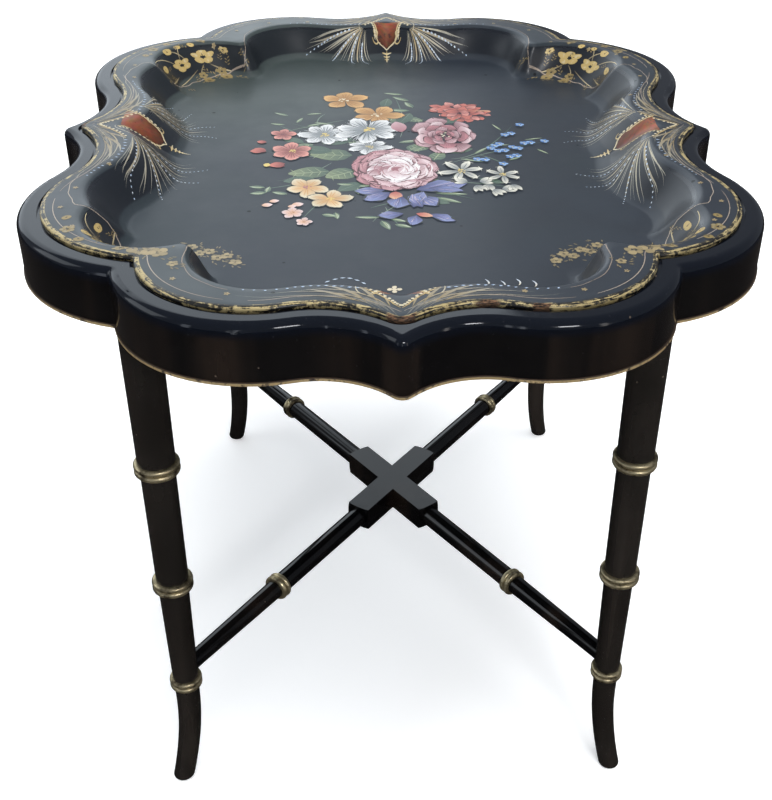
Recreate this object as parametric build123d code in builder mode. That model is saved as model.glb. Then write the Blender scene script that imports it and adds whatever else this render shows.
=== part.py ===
from build123d import *
from math import atan2, cos, degrees, hypot, sin, sqrt
import os

# Lobed papier-mache tray resting in a rebated frame on a faux-bamboo stand.
# Millimetres, +Z up, front at -Y, origin on the floor under the middle of the tray.

# outlines, one quadrant each, from the end tip (x = 0) round to the side tip (y = 0):
# tip, hollow, two or three lobes with a valley between each, hollow, tip
end_lobe = Vector(112, 280)
side_lobe = Vector(187, 178)
tray_edge = {
    "tips": (393.5, 303),
    "tip_r": 14,
    "hollow_r": (80, 108),
    "lobes": [(end_lobe, 96), (side_lobe, 114.5)],
    "valley_r": [3],
}
apron_edge = {
    "tips": (417, 320.5),
    "tip_r": 8,
    "hollow_r": (75, 105),
    "lobes": [(end_lobe, 116), (side_lobe, 134.5)],
    "valley_r": [3],
}
well_mouth = {
    "tips": (357, 268),
    "tip_r": 9,
    "hollow_r": (90, 90),
    "lobes": [(Vector(105, 284), 60), (Vector(205, 212), 60), (Vector(176, 150), 96)],
    "valley_r": [10, 12],
}
well_floor = {
    "tips": (322, 208),
    "tip_r": 6,
    "hollow_r": (140, 170),
    "lobes": [(Vector(92, 268), 58), (Vector(178, 205), 52), (Vector(180, 148), 57)],
    "valley_r": [12, 8],
}
rebate_gap = 3
ledge_in = 12
wall = 4
edge_round = 1.8

# heights
rim_top = 584.5
rim_thick = 5.5
ledge_z = rim_top - rim_thick
apron_top = 581
apron_bottom = 533
floor_top = rim_top - 36
floor_thick = 5

# apron frame
nose_r = 7.5
bead_proud = 1
bead_wide = 2.4
bead_deep = 3

# legs
leg_x = 210.5
leg_y = 292.5
leg_top_r = 17.5
tenon_r = 10
tenon_long = 26
pin_r = 6
pin_long = 22
foot_joint_z = 122
collar_z = (122, 250, 384)
collar_half = 6
shaft_above_r = (12.5, 15, 16.75)
shaft_below_r = (12, 14, 15.5)
collar_out_r = (15.8, 19, 20.2)
bead_r = 3
fit = 0.05

# feet
foot_kick = 20.5
foot_straight = 100
foot_r = 12
knee_r = 11.8
sole_r = 10.4
sole_round = 3.5
spare = 8
stations = 4

# cross stretcher
rail_z = 137
block_side = 27.5
block_half = 70
shoulder_long = 12
shoulder_slope = (1, -0.2)
arm_step = 0.3
arm_r = 11
arm_collar_at = 215
arm_collar_seat_r = 10.1
arm_collar_out_r = 14.2
arm_end_r = 8.6
arm_end_long = 16
leg_gap = 4
screw_r = 2
screw_head_r = 4
screw_sunk = 0.5
screw_cone = 2
screw_up = 9
slot_size = (6, 1, 1.2)

os.makedirs("parts", exist_ok=True)


def meet(p, rp, q, rq):
    """Point rp from p and rq from q, on the side away from the middle of the table."""
    reach = q - p
    along = (rp**2 - rq**2 + reach.length**2) / (2 * reach.length)
    across = sqrt(rp**2 - along**2)
    unit = reach.normalized()
    side = Vector(-unit.Y, unit.X)
    base = p + unit * along
    return max(base + side * across, base - side * across, key=lambda v: v.length)


def toward(p, q, distance):
    """Point at a distance from p on the way to q."""
    return p + (q - p).normalized() * distance


def grown(data, margin):
    """Same outline pushed outward by a margin."""
    return {
        "tips": tuple(tip + margin for tip in data["tips"]),
        "tip_r": data["tip_r"] + margin,
        "hollow_r": tuple(r - margin for r in data["hollow_r"]),
        "lobes": [(centre, r + margin) for centre, r in data["lobes"]],
        "valley_r": [max(r - margin, 1) for r in data["valley_r"]],
    }


def quadrant(data):
    """Arcs of one quadrant from the end tip round to the side tip, in the open line."""
    end_tip, side_tip = data["tips"]
    tip_r = data["tip_r"]
    hollow_e, hollow_s = data["hollow_r"]
    lobes = data["lobes"]
    tip_e = Vector(0, end_tip - tip_r)
    tip_s = Vector(side_tip - tip_r, 0)
    first, first_r = lobes[0]
    last, last_r = lobes[-1]
    centre_e = meet(tip_e, tip_r + hollow_e, first, first_r + hollow_e)
    centre_s = meet(tip_s, tip_r + hollow_s, last, last_r + hollow_s)
    circles = [(tip_e, tip_r), (centre_e, hollow_e), lobes[0]]
    for (p, rp), (q, rq), r in zip(lobes, lobes[1:], data["valley_r"]):
        circles.append((meet(p, rp + r, q, rq + r), r))
        circles.append((q, rq))
    circles += [(centre_s, hollow_s), (tip_s, tip_r)]
    marks = [Vector(0, end_tip)]
    for (p, rp), (q, _) in zip(circles, circles[1:]):
        marks.append(toward(p, q, rp))
    marks.append(Vector(side_tip, 0))
    for a, b, (c, r) in zip(marks, marks[1:], circles):
        ThreePointArc(a, toward(c, (a + b) * 0.5, r), b)
    return marks


def closed_outline(data):
    """Whole outline in the open line."""
    with BuildLine(mode=Mode.PRIVATE) as one:
        quadrant(data)
    add(one.line)
    mirror(one.line, about=Plane.YZ)
    mirror(one.line, about=Plane.XZ)
    add(one.line.rotate(Axis.Z, 180))


def quarter_face(data):
    """Face between one quadrant of an outline and the middle of the table."""
    with BuildLine() as edge:
        marks = quadrant(data)
        Polyline(marks[-1], (0, 0), marks[0])
    make_face(edge.line)


# tray: flat rim with a pressed lobed well
with BuildPart() as tray:
    with BuildSketch(Plane.XY.offset(ledge_z)):
        with BuildLine():
            closed_outline(tray_edge)
        make_face()
    extrude(amount=rim_thick)
    fillet(tray.edges().group_by(Axis.Z)[-1], radius=edge_round)
    with BuildSketch(Plane.XY.offset(floor_top - floor_thick)):
        with BuildLine():
            closed_outline(grown(well_floor, wall))
        make_face()
    with BuildSketch(Plane.XY.offset(ledge_z + 1)):
        with BuildLine():
            closed_outline(grown(well_mouth, wall))
        make_face()
    loft(ruled=True)
    with BuildSketch(Plane.XY.offset(floor_top)):
        with BuildLine():
            closed_outline(well_floor)
        make_face()
    with BuildSketch(Plane.XY.offset(rim_top)):
        with BuildLine():
            closed_outline(well_mouth)
        make_face()
    loft(ruled=True, mode=Mode.SUBTRACT)
tray.part.label = "tray"
export_step(tray.part, "parts/tray.step")

# apron frame: four sawn quarters meeting at the cusps, rebated for the tray
with BuildPart() as apron_quarter:
    with BuildSketch(Plane.XY.offset(apron_bottom)):
        quarter_face(apron_edge)
    extrude(amount=apron_top - apron_bottom)
    nose_edges = apron_quarter.edges().group_by(Axis.Z)[-1].filter_by(GeomType.CIRCLE)
    fillet(nose_edges, radius=nose_r)
    with BuildSketch(Plane.XY.offset(ledge_z)):
        quarter_face(grown(tray_edge, rebate_gap))
    extrude(amount=apron_top - ledge_z, mode=Mode.SUBTRACT)
    with BuildSketch(Plane.XY.offset(apron_bottom)):
        quarter_face(grown(tray_edge, -ledge_in))
    extrude(amount=ledge_z - apron_bottom, mode=Mode.SUBTRACT)
    with Locations((leg_x, leg_y, apron_bottom + tenon_long / 2)):
        Cylinder(tenon_r + fit, tenon_long, mode=Mode.SUBTRACT)
quarters = {
    "back_right": apron_quarter.part,
    "back_left": apron_quarter.part.mirror(Plane.YZ),
    "front_right": apron_quarter.part.mirror(Plane.XZ),
    "front_left": apron_quarter.part.rotate(Axis.Z, 180),
}
for corner, shape in quarters.items():
    with BuildPart() as apron:
        add(shape)
    apron.part.label = f"apron_{corner}"
    export_step(apron.part, f"parts/apron_{corner}.step")

# gilt bead under the lower edge of the apron
with BuildPart() as gilt_bead:
    with BuildSketch(Plane.XY.offset(apron_bottom - bead_deep)):
        with BuildLine():
            closed_outline(grown(apron_edge, bead_proud))
        make_face()
        with BuildLine():
            closed_outline(grown(apron_edge, bead_proud - bead_wide))
        make_face(mode=Mode.SUBTRACT)
    extrude(amount=bead_deep)
gilt_bead.part.label = "gilt_bead"
export_step(gilt_bead.part, "parts/gilt_bead.step")


def collar(seat_r, out_r, low):
    """Two stacked beads on a sleeve, on the Z axis from a height upward."""
    middle_r = out_r - bead_r
    with BuildPart() as ring:
        with BuildSketch(Plane.XZ):
            with BuildLine():
                Polyline(
                    (seat_r + fit, low),
                    (middle_r, low),
                    (middle_r, low + 4 * bead_r),
                    (seat_r + fit, low + 4 * bead_r),
                    close=True,
                )
            make_face()
            with Locations((middle_r, low + bead_r), (middle_r, low + 3 * bead_r)):
                Circle(bead_r)
        revolve(axis=Axis.Z)
        with Locations((0, 0, low + 2 * bead_r)):
            Cylinder(seat_r + fit, 5 * bead_r, mode=Mode.SUBTRACT)
    return ring.part


# leg: turned shaft stepping in under each collar, tenon above, pin below
leg_reach = hypot(leg_x, leg_y)
pin_end_z = foot_joint_z - pin_long
with BuildPart() as leg_shape:
    with BuildSketch(Plane.XZ):
        with BuildLine():
            profile = [(0, pin_end_z), (pin_r, pin_end_z), (pin_r, foot_joint_z)]
            for z, below_r, above_r in zip(collar_z, shaft_below_r, shaft_above_r):
                profile.append((below_r, max(z - collar_half, foot_joint_z)))
                profile.append((below_r, z + collar_half))
                profile.append((above_r, z + collar_half))
            profile.append((leg_top_r, apron_bottom))
            profile.append((tenon_r, apron_bottom))
            profile.append((tenon_r, apron_bottom + tenon_long))
            profile.append((0, apron_bottom + tenon_long))
            Polyline(*profile, close=True)
        make_face()
    revolve(axis=Axis.Z)
    with BuildSketch(Plane(origin=(-leg_top_r - leg_gap, 0, rail_z), z_dir=(1, 0, 0))):
        Circle(arm_end_r + fit)
    extrude(amount=leg_top_r, mode=Mode.SUBTRACT)

# foot: straight under the collar then kicking outward, flat on the floor
arc_r = (foot_straight**2 + foot_kick**2) / (2 * foot_kick)
end_turn = 2 * atan2(foot_kick, foot_straight)
with BuildPart() as foot_shape:
    with BuildSketch(Plane.XY.offset(foot_joint_z)):
        Circle(foot_r)
    with BuildSketch(Plane.XY.offset(foot_straight)):
        Circle(knee_r)
    for i in range(1, stations + 1):
        turn = end_turn * i / stations
        out = arc_r * (1 - cos(turn))
        down = foot_straight - arc_r * sin(turn)
        station_r = knee_r + (sole_r - knee_r) * i / stations
        with BuildSketch(Plane(origin=(out, 0, down), z_dir=(sin(turn), 0, -cos(turn)))):
            Circle(station_r)
    loft()
    with BuildSketch(Plane(origin=(foot_kick, 0, 0), z_dir=(sin(end_turn), 0, -cos(end_turn)))):
        Circle(sole_r)
    extrude(amount=spare)
    split(bisect_by=Plane.XY, keep=Keep.TOP)
    fillet(foot_shape.edges().group_by(Axis.Z)[0], radius=sole_round)
    with Locations((0, 0, foot_joint_z - pin_long / 2)):
        Cylinder(pin_r + fit, pin_long + 1, mode=Mode.SUBTRACT)

corners = {
    "front_left": (-leg_x, -leg_y),
    "front_right": (leg_x, -leg_y),
    "back_left": (-leg_x, leg_y),
    "back_right": (leg_x, leg_y),
}
levels = ("lower", "middle", "upper")
for corner, (x, y) in corners.items():
    place = Location((x, y, 0), (0, 0, degrees(atan2(y, x))))
    with BuildPart() as leg:
        with Locations(place):
            add(leg_shape.part)
    leg.part.label = f"leg_{corner}"
    export_step(leg.part, f"parts/leg_{corner}.step")
    with BuildPart() as foot:
        with Locations(place):
            add(foot_shape.part)
    foot.part.label = f"foot_{corner}"
    export_step(foot.part, f"parts/foot_{corner}.step")
    for level, z, seat_r, out_r in zip(levels, collar_z, shaft_below_r, collar_out_r):
        with BuildPart() as leg_collar:
            with Locations(place):
                add(collar(seat_r, out_r, z - collar_half))
        name = f"collar_{corner}_{level}"
        leg_collar.part.label = name
        export_step(leg_collar.part, f"parts/{name}.step")

# cross stretcher: two rails halved over each other in square blocks
rail_half = leg_reach - leg_gap
collar_in = arm_collar_at - collar_half
collar_far = arm_collar_at + collar_half
with BuildPart() as arm_block:
    with BuildSketch(Plane.XZ):
        with BuildLine():
            shoulder = (block_half - shoulder_long, block_side)
            Polyline((block_half, arm_r), (block_half, 0), (0, 0), (0, block_side), shoulder)
            TangentArc(shoulder, (block_half, arm_r), tangent=shoulder_slope)
        make_face()
    revolve(axis=Axis.X)
    mirror(about=Plane.YZ)
    Box(2 * block_half, block_side, block_side, mode=Mode.INTERSECT)
with BuildPart() as rail_shape:
    add(arm_block.part)
    with BuildSketch(Plane.XZ):
        with BuildLine():
            Polyline(
                (block_half, 0),
                (block_half, arm_r),
                (collar_in, arm_r - arm_step),
                (collar_in, arm_collar_seat_r),
                (collar_far, arm_collar_seat_r),
                (rail_half - arm_end_long, arm_end_r),
                (rail_half, arm_end_r),
                (rail_half, 0),
                close=True,
            )
        make_face()
    revolve(axis=Axis.X)
    mirror(about=Plane.YZ)

# lap screw, driven up from beneath through both rails
block_bottom = rail_z - block_side / 2


def screw(gap, mouth):
    """Screw shape grown by a gap, its head carried down to a mouth height."""
    head_z = block_bottom + screw_sunk
    with BuildPart() as shape:
        with BuildSketch(Plane.XZ):
            with BuildLine():
                Polyline(
                    (0, mouth),
                    (screw_head_r + gap, mouth),
                    (screw_head_r + gap, head_z),
                    (screw_r + gap, head_z + screw_cone),
                    (screw_r + gap, rail_z + screw_up),
                    (0, rail_z + screw_up + screw_r + gap),
                    close=True,
                )
            make_face()
        revolve(axis=Axis.Z)
    return shape.part


with BuildPart() as lap_screw:
    add(screw(0, block_bottom + screw_sunk / 2))
    with Locations((0, 0, block_bottom + screw_sunk / 2)):
        Box(*slot_size, mode=Mode.SUBTRACT)
lap_screw.part.label = "lap_screw"
export_step(lap_screw.part, "parts/lap_screw.step")

# lower rail keeps its bottom half at the crossing, upper rail its top half
cross_turn = degrees(atan2(leg_y, leg_x))
rails = {
    "lower": (cross_turn, -cross_turn, 1),
    "upper": (-cross_turn, cross_turn, -1),
}
for level, (turn, other, side) in rails.items():
    with BuildPart() as rail:
        with Locations(Location((0, 0, rail_z), (0, 0, turn))):
            add(rail_shape.part)
        with Locations(Location((0, 0, rail_z + side * block_side / 2), (0, 0, other))):
            Box(8 * block_side, block_side, block_side, mode=Mode.SUBTRACT)
        add(screw(fit, block_bottom - spare), mode=Mode.SUBTRACT)
    rail.part.label = f"stretcher_rail_{level}"
    export_step(rail.part, f"parts/stretcher_rail_{level}.step")

with BuildPart() as arm_collar_shape:
    add(collar(arm_collar_seat_r, arm_collar_out_r, collar_in))
for corner, (x, y) in corners.items():
    place = Location((0, 0, rail_z), (0, 0, degrees(atan2(y, x)))) * Location((0, 0, 0), (0, 90, 0))
    with BuildPart() as arm_collar:
        with Locations(place):
            add(arm_collar_shape.part)
    name = f"collar_stretcher_{corner}"
    arm_collar.part.label = name
    export_step(arm_collar.part, f"parts/{name}.step")
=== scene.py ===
import math
import random
import bmesh
import bpy
from mathutils import Euler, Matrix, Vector, noise
from mathutils.bvhtree import BVHTree
from mathutils.kdtree import KDTree


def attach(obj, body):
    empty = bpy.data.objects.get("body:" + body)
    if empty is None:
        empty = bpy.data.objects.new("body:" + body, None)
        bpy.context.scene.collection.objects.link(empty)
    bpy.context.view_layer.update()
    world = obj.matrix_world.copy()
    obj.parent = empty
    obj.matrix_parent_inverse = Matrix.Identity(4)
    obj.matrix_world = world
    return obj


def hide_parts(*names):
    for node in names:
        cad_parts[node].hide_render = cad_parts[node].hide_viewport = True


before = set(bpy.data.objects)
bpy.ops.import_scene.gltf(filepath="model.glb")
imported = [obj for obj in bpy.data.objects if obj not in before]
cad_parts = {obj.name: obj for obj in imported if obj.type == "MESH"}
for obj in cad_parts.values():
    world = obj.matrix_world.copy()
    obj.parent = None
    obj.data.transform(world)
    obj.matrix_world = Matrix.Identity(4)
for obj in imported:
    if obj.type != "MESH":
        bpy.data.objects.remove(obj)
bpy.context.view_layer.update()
mm = 0.001


def deselectAll():
    if bpy.context.object and bpy.context.object.mode != "OBJECT":
        bpy.ops.object.mode_set(mode="OBJECT")
    bpy.ops.object.select_all(action="DESELECT")


class Wire:
    def __init__(self, tree, socket):
        self.tree = tree
        self.socket = socket

    def sum(self, operation, first, second):
        node = self.tree.nodes.new("ShaderNodeMath")
        node.operation = operation
        plug(self.tree, node.inputs[0], first)
        plug(self.tree, node.inputs[1], second)
        return Wire(self.tree, node.outputs[0])

    def __add__(self, other):
        return self.sum("ADD", self, other)

    __radd__ = __add__

    def __mul__(self, other):
        return self.sum("MULTIPLY", self, other)

    __rmul__ = __mul__

    def __sub__(self, other):
        return self.sum("SUBTRACT", self, other)

    def __rsub__(self, other):
        return self.sum("SUBTRACT", other, self)


def plug(tree, socket, value):
    if isinstance(value, Wire):
        tree.links.new(value.socket, socket)
    else:
        socket.default_value = value


class Finish:
    def __init__(self, name):
        self.material = bpy.data.materials.new(name)
        self.material.use_nodes = True
        self.tree = self.material.node_tree
        self.shader = self.tree.nodes["Principled BSDF"]

    def node(self, kind, settings=None, inputs=None, output=0):
        made = self.tree.nodes.new(kind)
        for key, value in (settings or {}).items():
            if key == "stops":
                ramp = made.color_ramp
                while len(ramp.elements) < len(value):
                    ramp.elements.new(0.5)
                for element, (place, colour) in zip(ramp.elements, value):
                    element.position = place
                    element.color = (*colour, 1.0) if len(colour) == 3 else colour
            else:
                setattr(made, key, value)
        for key, value in (inputs or {}).items():
            plug(self.tree, made.inputs[key], value)
        return Wire(self.tree, made.outputs[output])

    def place(self):
        return self.node("ShaderNodeTexCoord", output="Object")

    def stretched(self, factors):
        return self.node("ShaderNodeMapping", inputs={"Vector": self.place(), "Scale": factors})

    def cloud(self, scale, detail=4.0, rough=0.55, where=None, warp=0.0):
        return self.node("ShaderNodeTexNoise",
            inputs={"Vector": where or self.place(), "Scale": scale, "Detail": detail, "Roughness": rough,
            "Distortion": warp}, output=0)

    def window(self, value, low, high, toLow=0.0, toHigh=1.0):
        return self.node("ShaderNodeMapRange", {"interpolation_type": "SMOOTHSTEP"},
            {"Value": value, "From Min": low, "From Max": high, "To Min": toLow, "To Max": toHigh})

    def blend(self, factor, first, second, how="MIX"):
        made = self.tree.nodes.new("ShaderNodeMix")
        made.data_type = "RGBA"
        made.blend_type = how
        made.clamp_factor = True
        plug(self.tree, made.inputs[0], factor)
        plug(self.tree, made.inputs[6], first)
        plug(self.tree, made.inputs[7], second)
        return Wire(self.tree, made.outputs[2])

    def attribute(self, name, output="Fac"):
        return self.node("ShaderNodeAttribute", {"attribute_name": name}, output=output)

    def specks(self, scale, size, spread=0.25):  # small round marks, rarer where spread is low
        cells = self.node("ShaderNodeTexVoronoi", {"feature": "F1"}, {"Vector": self.place(), "Scale": scale},
            output="Distance")
        pick = self.node("ShaderNodeTexVoronoi", {"feature": "F1"}, {"Vector": self.place(), "Scale": scale},
            output="Color")
        lucky = self.node("ShaderNodeSeparateColor", inputs={"Color": pick}, output=0)
        return self.window(cells, size, size * 0.6) * self.window(lucky, spread, spread * 0.9)

    def set(self, **sockets):
        for key, value in sockets.items():
            plug(self.tree, self.shader.inputs[socketNames[key]], value)

    def bump(self, height, strength, distance):
        self.set(normal=self.node("ShaderNodeBump",
            inputs={"Height": height, "Strength": strength, "Distance": distance}))


socketNames = {"colour": "Base Color", "rough": "Roughness", "metal": "Metallic", "coat": "Coat Weight",
    "coatRough": "Coat Roughness", "ior": "IOR", "specular": "Specular IOR Level", "normal": "Normal",
    "alpha": "Alpha", "glow": "Emission Color", "glowPower": "Emission Strength"}


def rgb(red, green, blue):
    return (red, green, blue, 1.0)


viewpoint = {
    "place": (-0.0209, -1.1526, 1.0069), "heading": -0.063, "tilt": math.radians(56.08), "roll": 0.023,
    "lens": 54.2, "shift": (-0.064, 0.026),
}
camera = bpy.data.objects.new("camera", bpy.data.cameras.new("camera"))
bpy.context.scene.collection.objects.link(camera)
heading = Euler((0, 0, viewpoint["heading"])).to_matrix()
tilt = Euler((viewpoint["tilt"], 0, 0)).to_matrix()
roll = Euler((0, 0, viewpoint["roll"])).to_matrix()
camera.matrix_world = (heading @ tilt @ roll).to_4x4()
camera.location = viewpoint["place"]
camera.data.sensor_width = 36
camera.data.lens = viewpoint["lens"]
camera.data.shift_x, camera.data.shift_y = viewpoint["shift"]
bpy.context.scene.camera = camera

studio = {
    "skyForCamera": (1.0, 1.0, 1.0), "skyForLight": (0.20, 0.215, 0.24),
    "lights": {  # name: place, aim, width, height, watts, colour
        "backWindow": ((-1.5, 3.3, 2.2), (0, 0, 0.55), 4.4, 2.9, 56, (0.84, 0.93, 1.0)),
        "stripLeft": ((-2.5, -2.3, 0.8), (0, -0.2, 0.5), 0.35, 1.7, 3.6, (0.80, 0.88, 1.0)),
        "stripMiddle": ((-0.7, -3.3, 0.7), (0, -0.2, 0.5), 0.16, 1.5, 2.2, (0.86, 0.92, 1.0)),
        "stripRight": ((2.3, -2.5, 0.8), (0, -0.2, 0.5), 0.3, 1.7, 5, (1.0, 0.95, 0.9)),
        "leftWindow": ((-2.9, -0.1, 1.7), (0, 0, 0.5), 1.8, 1.5, 14, (0.88, 0.95, 1.0)),
        "ceiling": ((0.2, -0.3, 3.3), (0, 0, 0.3), 2.1, 2.1, 105, (1.0, 0.99, 0.975)),
        "frontFill": ((1.2, -3.4, 2.4), (0, 0, 0.3), 0.9, 0.5, 40, (0.97, 0.98, 1.0)),
    },
}
world = bpy.data.worlds.new("studio")
world.use_nodes = True
sky = world.node_tree.nodes["Background"]
skyMix = world.node_tree.nodes.new("ShaderNodeMix")
skyMix.data_type = "RGBA"
skyMix.inputs[6].default_value = (*studio["skyForLight"], 1)
skyMix.inputs[7].default_value = (*studio["skyForCamera"], 1)
world.node_tree.links.new(world.node_tree.nodes.new("ShaderNodeLightPath").outputs["Is Camera Ray"],
    skyMix.inputs[0])
world.node_tree.links.new(skyMix.outputs[2], sky.inputs["Color"])
bpy.context.scene.world = world
bpy.context.scene.view_settings.view_transform = "Standard"
for name, (place, aim, width, height, watts, colour) in studio["lights"].items():
    data = bpy.data.lights.new(name, "AREA")
    data.shape = "RECTANGLE"
    data.size = width
    data.size_y = height
    data.energy = watts
    data.color = colour
    lamp = bpy.data.objects.new(name, data)
    bpy.context.scene.collection.objects.link(lamp)
    lamp.location = place
    lamp.rotation_euler = (Vector(aim) - Vector(place)).to_track_quat("-Z", "Y").to_euler()
    lamp.visible_glossy = name != "ceiling"

daylight = bpy.data.objects.new("daylight", bpy.data.lights.new("daylight", "SUN"))
daylight.data.energy = 1.1
daylight.data.angle = 0.9
daylight.rotation_euler = (0.25, 0.2, 0)
daylight.visible_glossy = False
bpy.context.scene.collection.objects.link(daylight)

deselectAll()
bpy.ops.mesh.primitive_plane_add(size=16, location=(0, 0, 0))
studioFloor = bpy.context.object
studioFloor.name = "studio_floor"
bpy.ops.object.mode_set(mode="EDIT")
bpy.ops.mesh.subdivide(number_cuts=7)
bpy.ops.object.mode_set(mode="OBJECT")
paleFloor = Finish("paleFloor")
paleTone = paleFloor.blend(paleFloor.cloud(0.8), rgb(0.88, 0.88, 0.88), rgb(0.92, 0.92, 0.92))
glossyView = paleFloor.node("ShaderNodeLightPath", output="Is Glossy Ray")
paleFloor.set(colour=paleFloor.blend(glossyView, paleTone, rgb(0.030, 0.026, 0.024)), rough=0.9, specular=0.0)
seen = paleFloor.node("ShaderNodeLightPath", output="Is Camera Ray")
paleFloor.set(glow=paleFloor.blend(seen, rgb(0, 0, 0), rgb(0.42, 0.42, 0.42)), glowPower=1.0)
studioFloor.data.materials.append(paleFloor.material)
print("camera, lights and floor placed")


tray = {
    "edge": {"tips": (393.5, 303.0), "tipR": 14.0, "hollows": (80.0, 108.0),
    "lobes": [((112, 280), 96.0), ((187, 178), 114.5)], "valleys": [3.0], "counts": [3, 16, 24, 4, 38, 16, 3]},
    "mouth": {"tips": (357.0, 268.0), "tipR": 9.0, "hollows": (90.0, 90.0),
    "lobes": [((105, 284), 60.0), ((205, 212), 60.0), ((176, 150), 96.0)], "valleys": [10.0, 12.0],
    "counts": [3, 16, 16, 6, 22, 6, 16, 16, 3]},
    "floor": {"tips": (322.0, 208.0), "tipR": 6.0, "hollows": (140.0, 170.0),
    "lobes": [((92, 268), 58.0), ((178, 205), 52.0), ((180, 148), 57.0)], "valleys": [12.0, 8.0],
    "counts": [3, 16, 16, 6, 22, 6, 16, 16, 3]},
    "rimTop": 584.5, "underRim": 579.0, "floorTop": 548.5, "floorUnder": 543.5, "wallSteps": 16,
}


def meet(p, reachP, q, reachQ):  # the point that far from p and from q, on the side away from the middle
    gap = q - p
    along = (reachP ** 2 - reachQ ** 2 + gap.length ** 2) / (2 * gap.length)
    across = math.sqrt(reachP ** 2 - along ** 2)
    unit = gap.normalized()
    side = Vector((-unit.y, unit.x)) * across
    base = p + unit * along
    return max(base + side, base - side, key=lambda spot: spot.length)


def quarter(shape, margin):  # samples from the end cusp up to, not with, the side cusp
    tipR = shape["tipR"] + margin
    lobes = [(Vector(centre), radius + margin) for centre, radius in shape["lobes"]]
    hollows = [radius - margin for radius in shape["hollows"]]
    endTip = Vector((0, shape["tips"][0] - shape["tipR"]))
    sideTip = Vector((shape["tips"][1] - shape["tipR"], 0))
    circles = [(endTip, tipR)]
    circles.append((meet(endTip, tipR + hollows[0], lobes[0][0], lobes[0][1] + hollows[0]), hollows[0]))
    circles.append(lobes[0])
    for (p, rp), (q, rq), valley in zip(lobes, lobes[1:], shape["valleys"]):
        radius = max(valley - margin, 0.6)
        circles.append((meet(p, rp + radius, q, rq + radius), radius))
        circles.append((q, rq))
    circles.append((meet(sideTip, tipR + hollows[1], lobes[-1][0], lobes[-1][1] + hollows[1]), hollows[1]))
    circles.append((sideTip, tipR))
    marks = [Vector((0, endTip.y + tipR))]
    for (p, rp), (q, rq) in zip(circles, circles[1:]):
        marks.append(p + (q - p).normalized() * rp)
    marks.append(Vector((sideTip.x + tipR, 0)))
    points = []
    for (centre, radius), start, stop, count in zip(circles, marks, marks[1:], shape["counts"]):
        first = math.atan2(*(start - centre).yx)
        turn = math.remainder(math.atan2(*(stop - centre).yx) - first, math.tau)
        for step in range(count):
            angle = first + turn * step / count
            points.append(centre + Vector((math.cos(angle), math.sin(angle))) * radius)
    return points + [marks[-1]]


def outline(shape, margin=0.0):  # the whole ring, clockwise from the back cusp
    part = quarter(shape, margin)
    ring = part[:-1]
    ring += [Vector((p.x, -p.y)) for p in reversed(part[1:])]
    ring += [Vector((-p.x, -p.y)) for p in part[:-1]]
    ring += [Vector((-p.x, p.y)) for p in reversed(part[1:])]
    return ring


def mixRings(first, second, share):
    return [p.lerp(q, share) for p, q in zip(first, second)]


def atHeight(ring, height):
    return [Vector((p.x, p.y, height)) for p in ring]


def loftRings(name, rings):  # a circle extruded from ring to ring, both ends closed
    deselectAll()
    count = len(rings[0])
    bpy.ops.mesh.primitive_circle_add(vertices=count, radius=1.0)
    piece = bpy.context.object
    piece.name = name
    bpy.ops.object.mode_set(mode="EDIT")
    shape = bmesh.from_edit_mesh(piece.data)
    spoke = shape.verts.layers.int.new("spoke")
    shape.verts.ensure_lookup_table()
    for index, vert in enumerate(shape.verts):
        vert[spoke] = index
        vert.co = rings[0][index] * mm
    bmesh.update_edit_mesh(piece.data)
    for place, ring in enumerate(rings):
        if place:
            bpy.ops.mesh.extrude_region_move()
        shape = bmesh.from_edit_mesh(piece.data)
        spoke = shape.verts.layers.int["spoke"]
        for vert in shape.verts:
            if vert.select:
                vert.co = ring[vert[spoke]] * mm
        bmesh.update_edit_mesh(piece.data)
        if place in (0, len(rings) - 1):
            bpy.ops.mesh.edge_face_add()
            if place == 0:
                bpy.ops.mesh.select_mode(type="EDGE")
                shape = bmesh.from_edit_mesh(piece.data)
                for face in shape.faces:
                    face.select = False
                for edge in shape.edges:
                    edge.select = True
                bmesh.update_edit_mesh(piece.data)
    bpy.ops.mesh.select_all(action="SELECT")
    bpy.ops.mesh.normals_make_consistent(inside=False)
    bpy.ops.object.mode_set(mode="OBJECT")
    return piece


def ease(share):
    return share * share * (3 - 2 * share)


def trayRings():
    top = tray["rimTop"]
    base = tray["floorTop"]
    edge = {margin: outline(tray["edge"], margin) for margin in (0.0, -0.5, -1.5, -2.6)}
    high = outline(tray["mouth"], 4.0)
    low = outline(tray["floor"], -4.0)
    rings = [atHeight([p * share for p in low], base) for share in (0.12, 0.3, 0.5, 0.7, 0.86, 0.96)]
    for step in range(tray["wallSteps"] + 1):
        share = step / tray["wallSteps"]
        rings.append(atHeight(mixRings(low, high, share), base + (top - base) * ease(share)))
    for share in (0.2, 0.5, 0.8):
        rings.append(atHeight(mixRings(high, edge[-2.6], share), top))
    rings += [atHeight(edge[-2.6], top), atHeight(edge[-1.5], top - 0.2), atHeight(edge[-0.5], top - 0.8)]
    rings += [atHeight(edge[0.0], top - 1.8), atHeight(edge[0.0], tray["underRim"] + 1.0),
        atHeight(edge[-0.5], tray["underRim"])]
    outerHigh = outline(tray["mouth"], 7.5)
    outerLow = outline(tray["floor"], -0.5)
    rings.append(atHeight(outerHigh, tray["underRim"]))
    for step in range(1, 12):
        share = step / 11
        rings.append(atHeight(mixRings(outerHigh, outerLow, share),
            tray["underRim"] + (tray["floorUnder"] - tray["underRim"]) * ease(share)))
    rings += [atHeight([p * share for p in outerLow], tray["floorUnder"]) for share in (0.9, 0.6, 0.3, 0.12)]
    return rings


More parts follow.
